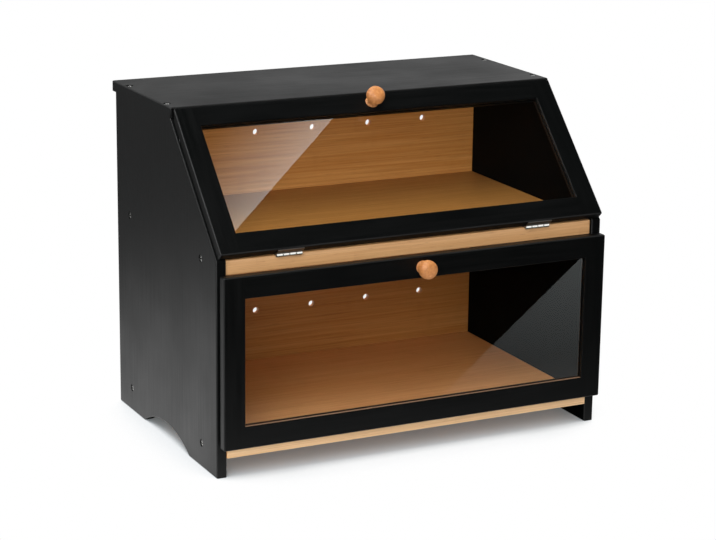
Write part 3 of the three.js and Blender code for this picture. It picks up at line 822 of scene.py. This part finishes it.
def door(prefix, back, low, high, place, lean):
    """A door around its hinge axis: the frame, notched for the hinges, the pane and the knob."""
    body = f"{prefix}_door"
    notch = rod(KNUCKLE_RADIUS + KNUCKLE_NOTCH, HINGE_LENGTH / 2 + KNUCKLE_NOTCH)
    notches = [lathe(notch, (1, 0, 0), (side * HINGE_OUT, 0, 0)) for side in HANDS.values()]

    def finish_number(face):
        middle = face.calc_center_median()
        if face.normal.z < -SQUARELY and middle.z < low + NEAR:
            return 1
        in_front = -middle.y > back + DOOR_THICKNESS / 2
        # The sill in front of the pane takes the painted reflection of the bamboo inside
        on_sill = in_front and face.normal.z > SQUARELY and middle.z < low + FRAME_WIDTH + NEAR
        return 2 if on_sill else 0

    cut_frame = choose_finish(combine(door_frame(back, low, high, lean), notches), finish_number)
    finishes = [door_lacquer, door_end_lacquer, sill_painted_reflection]
    nodes = [f"{body}_{member}" for member in ("stile_left", "stile_right", "top_rail", "bottom_rail")]
    make_piece(f"{prefix}_frame", cut_frame, finishes, body, nodes, place)
    pane = door_pane(back, low, high)
    make_piece(f"{prefix}_pane", pane, [acrylic], body, [f"{body}_pane"], place)
    stand = (0, -back - DOOR_THICKNESS, high - FRAME_WIDTH / 2)
    knob = lathe(knob_profile(), (0, -1, 0), stand, KNOB_STEPS)
    # The grain of the turned knob follows the row's axes, so its mesh is brought into the frame
    knob.transform(Matrix.Scale(1 / MM, 4) @ place @ Matrix.Scale(MM, 4))
    make_piece(f"{prefix}_knob", knob, [knob_bamboo], body, [f"{body}_knob"], IN_FRAME)


def axis_place(axis, lean):
    """The place of a hinge axis, turned as the closed door leans."""
    shift = Matrix.Translation((0, (axis[0] + MIDDLE_SHIFT) * MM, axis[1] * MM))
    return shift @ Matrix.Rotation(SLOPE_ANGLE - math.pi / 2 if lean else 0, 4, "X")


door("upper", UPPER_BACK, UPPER_LOW, UPPER_HIGH, axis_place(UPPER_AXIS, True), True)
door("lower", LOWER_BACK, LOWER_LOW, LOWER_HIGH, axis_place(LOWER_AXIS, False), False)


# Hinges, screws, magnets and catch

bright_work = []


def screw(size, direction, place):
    """Raised countersunk screw with a cross recess; its place is the middle of its head's rim."""
    head, head_height, shank, length, rise = size
    dome = [(head * share, rise * (1 - share**2)) for share in (0.93, 0.75, 0.5, 0.25, 0)]
    profile = [
        (0, -length),
        (shank * 0.4, -length),
        (shank, 2 * shank - length),
        (shank, -head_height),
        (head, -0.12),
        *dome,
    ]
    arm = head * 0.6
    half_width = head * 0.13
    recess = []
    for across, along in ((arm, half_width), (half_width, arm)):
        slot = box_mesh((-across, -along, -head * 0.36), (across, along, 1))
        slot.transform(Matrix.Translation(place) @ turn_onto(direction))
        recess.append(slot)
    return combine(lathe(profile, direction, place), recess)


def hinge_knuckle(start, length):
    """One turn of the barrel, bored for the pin, its ends eased so that the joint between two turns shows."""
    bore = PIN_RADIUS + PIN_PLAY
    edge = KNUCKLE_RADIUS - KNUCKLE_EASE
    end = start + length
    profile = [
        (bore, start),
        (edge, start),
        (KNUCKLE_RADIUS, start + KNUCKLE_EASE),
        (KNUCKLE_RADIUS, end - KNUCKLE_EASE),
        (edge, end),
        (bore, end),
        (bore, start),
    ]
    return lathe(profile, (1, 0, 0), (0, 0, 0))


def leaf_plate():
    """Pressed plate with rounded corners, reaching back from the barrel."""
    half = LEAF_THICKNESS / 2
    bm = bmesh.new()
    loops = []
    for inset, rise in ((LEAF_EASE, -half), (0, LEAF_EASE - half), (0, half - LEAF_EASE), (LEAF_EASE, half)):
        shape = (HINGE_LENGTH / 2 - inset, PLATE_START + inset, LEAF_REACH - inset, LEAF_CORNER - inset)
        loops.append([bm.verts.new(point) for point in ring_points(*shape, rise)])
    bm.faces.new(loops[0])
    bm.faces.new(loops[-1][::-1])
    bridge(bm, loops)
    bm.transform(Matrix.Rotation(-math.pi / 2, 4, "X"))
    return bm


def hinge_leaf(first, head_side):
    """Half of a butt hinge: its plate, every second knuckle, and the two screws through it. A tab, a hair
    thinner than the plate, joins it to each knuckle."""
    step = HINGE_LENGTH / KNUCKLES
    tab_start = (KNUCKLE_RADIUS + PIN_RADIUS) / 2 + 0.05
    tab_end = KNUCKLE_RADIUS + 0.6
    tab_half = LEAF_THICKNESS / 2 - 0.03
    parts = []
    for index in range(first, KNUCKLES, 2):
        start = index * step - HINGE_LENGTH / 2 + KNUCKLE_GAP / 2
        length = step - KNUCKLE_GAP
        parts.append(hinge_knuckle(start, length))
        parts.append(box_mesh((start, tab_start, -tab_half), (start + length, tab_end, tab_half)))
    rise = head_side * (LEAF_THICKNESS / 2 - LEAF_SCREW_SUNK)
    for across in (-LEAF_SCREW_SPREAD / 2, LEAF_SCREW_SPREAD / 2):
        parts.append(screw(LEAF_SCREW, (0, 0, head_side), (across, LEAF_SCREW_REACH, rise)))
    leaf = combine(leaf_plate(), parts, "UNION")
    # The plates take the darker nickel, which is painted shade
    return choose_finish(leaf, lambda face: face.calc_center_median().y > PLATE_START - 0.1)


def hinge(prefix, hand, axis, door_place, turn, head_side):
    """A butt hinge: the pin and one leaf on the case, the other leaf turned onto the door."""
    across = HANDS[hand] * HINGE_OUT
    on_case = Matrix.Translation((across * MM, (axis[0] + MIDDLE_SHIFT) * MM, axis[1] * MM))
    on_door = door_place @ Matrix.Translation((across * MM, 0, 0)) @ Matrix.Rotation(turn, 4, "X")
    pin = lathe(eased_rod(PIN_RADIUS, HINGE_LENGTH / 2 + PIN_EASE, PIN_EASE), (1, 0, 0), (0, 0, 0))
    for kind, bm, finishes, body, slot, place in (
        ("fixed_leaf", hinge_leaf(1, 1), [nickel, plate_nickel_painted_shade], "cabinet", "nickel", on_case),
        ("pin", pin, [zinc], "cabinet", "screw_steel", on_case),
        ("door_leaf", hinge_leaf(0, head_side), [nickel, plate_nickel_painted_shade], f"{prefix}_door", "nickel", on_door),
    ):
        node = f"{prefix}_hinge_{kind}_{hand}"
        bright_work.append(make_piece(f"{node}_shown", bm, finishes, body, [node], place))


def middle_of(node):
    """The middle of a node's box and half its size, in millimetres."""
    low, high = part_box(node)
    return (Vector(low) + Vector(high)) / 2 / MM, (Vector(high) - Vector(low)) / 2 / MM


def screw_piece(node, size, direction):
    """A zinc-plated screw, with its head's rim where its solid's head ends."""
    middle, half = middle_of(node)
    top = middle + Vector(d * h for d, h in zip(direction, half))
    bm = screw(size, direction, top)
    bright_work.append(make_piece(f"{node}_shown", bm, [zinc], "cabinet", [node], IN_FRAME))


def round_piece(node, size, direction, body):
    """A plated magnet or strike disc with eased edges, around the middle of its solid."""
    radius, length, ease = size
    disc = lathe(eased_rod(radius, length / 2, ease), direction, middle_of(node)[0])
    piece = make_piece(f"{node}_shown", disc, [magnet_plate], body, [node], IN_FRAME)
    bright_work.append(piece)


def catch_housing():
    """Moulded housing of the magnet catch, with the magnet's bore and two sunk screws."""
    middle, half = middle_of("lower_catch_body")
    housing = round_arrises(box_mesh(middle - half, middle + half), HOUSING_ARRIS)
    magnet, reach = middle_of("lower_catch_magnet")
    cuts = [lathe(rod(CATCH_MAGNET[0] + HOLE_PLAY, reach.y + PAST / 2), (0, 1, 0), magnet)]
    head, head_height, shank, length, _ = CATCH_SCREW
    hole = sink(shank + HOLE_PLAY, head + 2 * HOLE_PLAY, head_height, length + 2 * PAST, PAST)
    for hand in HANDS:
        place, size = middle_of(f"lower_catch_screw_{hand}")
        cuts.append(lathe(hole, (0, 0, -1), place - Vector((0, 0, size.z))))
    housing = combine(housing, cuts)
    make_piece("catch_housing", housing, [plastic], "cabinet", ["lower_catch_body"], IN_FRAME)


SLOPE_OUT = (0, -math.sin(SLOPE_ANGLE), math.cos(SLOPE_ANGLE))
for hand, side in HANDS.items():
    hinge("upper", hand, UPPER_AXIS, axis_place(UPPER_AXIS, True), math.pi, 1)
    hinge("lower", hand, LOWER_AXIS, axis_place(LOWER_AXIS, False), math.pi / 2, -1)
    for site in ("board_front", "board_back", "shelf_front", "shelf_back"):
        screw_piece(f"side_screw_{hand}_{site}", WOOD_SCREW, (side, 0, 0))
    for site in ("front", "back"):
        screw_piece(f"top_screw_{hand}_{site}", WOOD_SCREW, (0, 0, 1))
    screw_piece(f"lower_catch_screw_{hand}", CATCH_SCREW, (0, 0, -1))
    round_piece(f"upper_magnet_{hand}", SLOPE_MAGNET, SLOPE_OUT, "cabinet")
    round_piece(f"upper_door_strike_{hand}", SLOPE_STRIKE, SLOPE_OUT, "upper_door")
round_piece("lower_catch_magnet", CATCH_MAGNET, (0, 1, 0), "cabinet")
round_piece("lower_door_strike", CATCH_STRIKE, (0, 1, 0), "lower_door")
catch_housing()


# Studio: floor, backdrop, soft lamps and the photograph's viewing angle. Places are in metres.

BIN_MIDDLE = (0, 0, 0.15)
FLOOR_HALF = 6
BACKDROP_FILL = 0.38
SHADOW_REACH = 0.12
LIT_POOL = (-0.25, 0.04, 0)
CARD_TINT = linear("#f6ffff")


def seen_rays(tree):
    """Rays that show the background, from the camera or on through the panes, and rays that come off a
    gloss."""
    rays = add(tree, "LightPath", out=None)
    views = {0: rays["Is Camera Ray"], 1: rays["Is Transmission Ray"]}
    depths = {0: rays["Glossy Depth"], 1: rays["Diffuse Depth"]}
    open_view = add(tree, "Math", views, operation="MAXIMUM")
    turned_back = add(tree, "Math", depths, operation="ADD")
    direct = add(tree, "Math", {0: open_view, 1: turned_back}, operation="GREATER_THAN")
    mirrored = add(tree, "Math", depths, operation="GREATER_THAN")
    return direct, mirrored


def floor():
    """White floor. It keeps the bin's shadow, and fades to plain white away from it. In the lacquer it shows
    as the lit floor beside and behind the bin, and as the dark studio in front."""
    bm = bmesh.new()
    bmesh.ops.create_grid(bm, x_segments=8, y_segments=8, size=FLOOR_HALF)
    mesh = mesh_of(bm, "floor")
    plane = put("floor", mesh)
    finish, tree = new_finish("pale_floor")
    direct, mirrored = seen_rays(tree)
    open_sky = add(tree, "AmbientOcclusion", {"Distance": SHADOW_REACH}, "AO", samples=16)

    # Seen by the camera: close to the bin, where ambient occlusion finds it, the lamps' shadow in a darker,
    # cooler copy of the floor's colour with a faint glow added, which is painted shade; white elsewhere
    shaded = add(tree, "BsdfDiffuse", {"Color": linear("#a3adb4")})
    lift = add(tree, "Emission", {"Color": linear("#f9ffff"), "Strength": 0.11})
    shadow = add(tree, "AddShader", {0: shaded, 1: lift})
    white = add(tree, "Emission", {"Color": WHITE, "Strength": 1.0})
    open_share = add(tree, "MapRange", {"Value": open_sky, "From Min": 0.22, "From Max": 0.64})
    shown = add(tree, "MixShader", {0: open_share, 1: shadow, 2: white})

    # Seen in a gloss: a pool of light around the left feet, dark under the bin and in front of it
    place = add(tree, "TexCoord", out="Object")
    behind = add(tree, "SeparateXYZ", {"Vector": place}, out="Y")
    beside = add(tree, "MapRange", {"Value": behind, "From Min": -0.33, "From Max": -0.08})
    from_pool = add(tree, "VectorMath", {0: place, 1: LIT_POOL}, "Value", operation="DISTANCE")
    pool = add(tree, "MapRange", {"Value": from_pool, "From Max": 0.7, "To Min": 1.5, "To Max": 0.16})
    under_sky = add(tree, "MapRange", {"Value": open_sky, "From Min": 0.2, "From Max": 0.5})
    uncovered = add(tree, "Math", {0: under_sky, 1: beside}, operation="MULTIPLY")
    level = add(tree, "Math", {0: uncovered, 1: pool}, operation="MULTIPLY")
    glow = add(tree, "Emission", {"Color": WHITE, "Strength": level})

    # To all other rays the floor is pale and lit by the lamps
    lit = add(tree, "BsdfDiffuse", {"Color": linear("#e6e7e8")})
    other = add(tree, "MixShader", {0: mirrored, 1: lit, 2: glow})
    surface = add(tree, "MixShader", {0: direct, 1: other, 2: shown})
    add(tree, "OutputMaterial", {"Surface": surface}, None)
    mesh.materials.append(finish)


def backdrop():
    """White backdrop. Polished pieces mirror it behind the bin, and the dark studio in front of the bin."""
    world = bpy.data.worlds.new("studio")
    bpy.context.scene.world = world
    world.use_nodes = True
    tree = world.node_tree
    tree.nodes.clear()
    direct, mirrored = seen_rays(tree)
    white = add(tree, "Background", {"Color": WHITE, "Strength": 1.0})
    fill = add(tree, "Background", {"Color": WHITE, "Strength": BACKDROP_FILL})
    way = add(tree, "TexCoord", out="Generated")
    across, behind, up = add(tree, "SeparateXYZ", {"Vector": way}, None)
    brightness = add(
        tree, "MapRange", {"Value": across, "From Min": 0.2, "From Max": 0.65, "To Min": 0.36, "To Max": 0.9}
    )
    lower_part = add(
        tree, "MapRange", {"Value": up, "From Min": 0.35, "From Max": 0.75, "To Min": 1.0, "To Max": 0.1}
    )
    rear_part = add(tree, "MapRange", {"Value": behind, "From Max": 0.7, "To Min": 0.07})
    stands = add(tree, "Math", {0: rear_part, 1: lower_part}, operation="MULTIPLY")
    level = add(tree, "Math", {0: stands, 1: brightness}, operation="MULTIPLY")
    glow = add(tree, "Background", {"Color": WHITE, "Strength": level})
    other = add(tree, "MixShader", {0: mirrored, 1: fill, 2: glow})
    shown = add(tree, "MixShader", {0: direct, 1: other, 2: white})
    add(tree, "OutputWorld", {"Surface": shown}, None)


def soft_lamp(name, place, side, power, gloss=True):
    """A square softbox that points at the bin, with its side in metres and its power in watts."""
    light = bpy.data.lights.new(name, "AREA")
    light.shape = "SQUARE"
    light.size = side
    light.energy = power
    lamp = put(name, light)
    lamp.location = place
    lamp.rotation_euler = (Vector(BIN_MIDDLE) - Vector(place)).to_track_quat("-Z", "Y").to_euler()
    lamp.visible_camera = False
    lamp.visible_transmission = False
    lamp.visible_glossy = gloss
    return lamp


def shine_only_on(lamp, pieces, shaded_by=()):
    """Makes a lamp light, and show in, these pieces alone; only some others may shade them."""
    for role, chosen in (("receiver", pieces), ("blocker", shaded_by)):
        if chosen:
            group = bpy.data.collections.new(f"{lamp.name}_{role}s")
            for piece in chosen:
                group.objects.link(piece)
            setattr(lamp.light_linking, f"{role}_collection", group)


def reflector(name, place, turn, size, power, pieces, facing_up, fade, ends=(1, 1)):
    """A pale card that shows only as a reflection in these pieces. It fades across, from the first share of
    its width to the second and from the third level to the fourth. It fades along, from one end's level to
    the other's."""
    light = bpy.data.lights.new(name, "AREA")
    light.shape = "RECTANGLE"
    light.size, light.size_y = size
    light.energy = power
    light.use_nodes = True
    tree = light.node_tree
    tree.nodes.clear()
    on_card = add(tree, "NewGeometry", out="Parametric")
    along, across, _ = add(tree, "SeparateXYZ", {"Vector": on_card}, None)
    start, end, first_level, last_level = fade
    level = add(
        tree,
        "MapRange",
        {"Value": across, "From Min": start, "From Max": end, "To Min": first_level, "To Max": last_level},
    )
    curved = add(tree, "Math", {0: level, 1: 1.5}, operation="POWER")
    from_end = add(tree, "MapRange", {"Value": along, "To Min": ends[0], "To Max": ends[1]})
    strength = add(tree, "Math", {0: curved, 1: from_end}, operation="MULTIPLY")
    glow = add(tree, "Emission", {"Color": CARD_TINT, "Strength": strength})
    add(tree, "OutputLight", {"Surface": glow}, None)
    card = put(name, light)
    card.rotation_euler = (math.pi if facing_up else 0, 0, turn)
    card.location = place
    card.visible_camera = False
    card.visible_diffuse = False
    card.visible_transmission = False
    shine_only_on(card, pieces)


def photograph_camera():
    """The camera where the photograph's lines put it. Its turn, tilt and roll are in radians."""
    place = (-0.93397, -1.86134, 0.70787)
    turn = 0.46373
    tilt = 0.26334
    roll = 0.01275
    forward = Vector((math.sin(turn) * math.cos(tilt), math.cos(turn) * math.cos(tilt), -math.sin(tilt)))
    level = Vector((math.cos(turn), -math.sin(turn), 0))
    up = level.cross(forward)
    right = level * math.cos(roll) + up * math.sin(roll)
    top = up * math.cos(roll) - level * math.sin(roll)
    data = bpy.data.cameras.new("camera")
    data.lens = 111.6
    data.sensor_width = 36
    data.sensor_fit = "HORIZONTAL"
    camera = put("camera", data)
    camera.matrix_world = Matrix.Translation(place) @ Matrix((right, top, -forward)).transposed().to_4x4()
    bpy.context.scene.camera = camera


floor()
backdrop()
soft_lamp("overhead_softbox", (-0.2, 0.45, 1.6), 1.4, 34, gloss=False)
soft_lamp("front_softbox", (-1.1, -1.8, 1.25), 1.3, 30)
soft_lamp("high_softbox", (-0.6, -1.0, 1.7), 0.8, 14, gloss=False)

# The upper back gets more light than reaches it past the top and the upper door, as in the photograph
pieces = bpy.data.objects
shades = [pieces[f"{name}_board"] for name in ("shelf", "base")]
shades += [pieces["shelf_rail"], pieces["side_board_left"], pieces["side_board_right"]]
shine_only_on(soft_lamp("back_fill", (-0.5, -0.9, 1.25), 0.8, 9, gloss=False), [pieces["back_board"]], shades)

# Metal mirrors lamps of its own, which leave the lacquer around it dark
shine_only_on(soft_lamp("bright_work_front", (0.56, -1.2, 0.6), 1.4, 10), bright_work)
shine_only_on(soft_lamp("bright_work_back", (0.6, 1.25, 0.75), 1.0, 10), bright_work)
shine_only_on(soft_lamp("bright_work_left", (-1.4, 0.5, 0.6), 0.7, 8), bright_work)
reflector("bright_work_floor", (0.3, -0.95, 0.002), 0, (1.4, 1.2), 7, bright_work, True, (0, 1, 1, 1))

# A lamp from the left that shows only as a sheen, along the arrises
soft_lamp("arris_strip", (-1.3, 0.05, 1.1), 0.8, 14).visible_diffuse = False

# The slanting reflections in the two panes
reflector(
    "upper_pane_reflector",
    (0.272, -0.244, 1.4),
    math.radians(45.7),
    (0.6, 0.4),
    1.4,
    [pieces["upper_pane"]],
    False,
    (0, 0.34, 1.75, 0),
)
reflector(
    "lower_pane_reflector",
    (0.448, -0.316, 0.002),
    math.radians(135.7),
    (0.75, 0.4),
    0.6,
    [pieces["lower_pane"]],
    True,
    (0, 1, 1, 1),
    (2.2, 0.3),
)
photograph_camera()
bpy.context.scene.view_settings.view_transform = "Standard"
